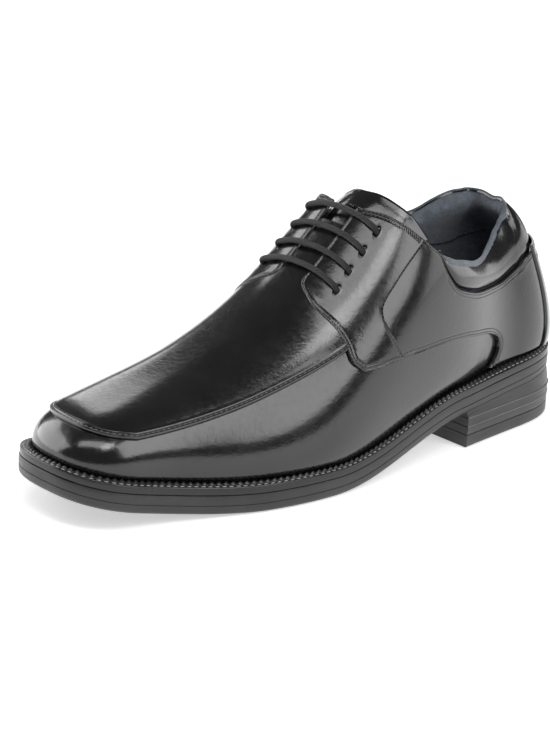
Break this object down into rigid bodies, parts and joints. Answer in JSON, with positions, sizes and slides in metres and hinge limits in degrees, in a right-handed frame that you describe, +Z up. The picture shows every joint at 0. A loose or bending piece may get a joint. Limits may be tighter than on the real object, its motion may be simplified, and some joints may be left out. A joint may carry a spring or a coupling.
{
  "type": "square toe dress shoe",
  "caption": "Left square toe lace-up dress shoe: lasted leather upper with a raised apron, open quarters, padded collar and tongue, on a welted rubber sole with a block heel",
  "frame": {"origin": "on the floor, under the middle of the shoe's box", "axes": "+X from heel to toe, +Y to the outer (lateral) side of the left foot, +Z up; the shoe stands on Z = 0"},
  "size_m": [0.3064, 0.1014, 0.1271],
  "materials": {
    "leather": "polished black calf, glossy",
    "sole": "satin dark grey rubber",
    "welt": "satin dark grey, stitched",
    "lining": "slate textile and sock lining",
    "lace": "round waxed cord, dark grey"
  },
  "bodies": {
    "root": {"outsole": "sole", "heel": "sole", "top_lift": "sole", "welt": "welt", "insole": "lining", "upper": "leather", "apron": "leather", "quarter_lateral": "leather", "quarter_medial": "leather", "collar_pad": "leather", "back_strip": "leather", "tongue": "leather", "lace": "lace"}
  },
  "joints": []
}
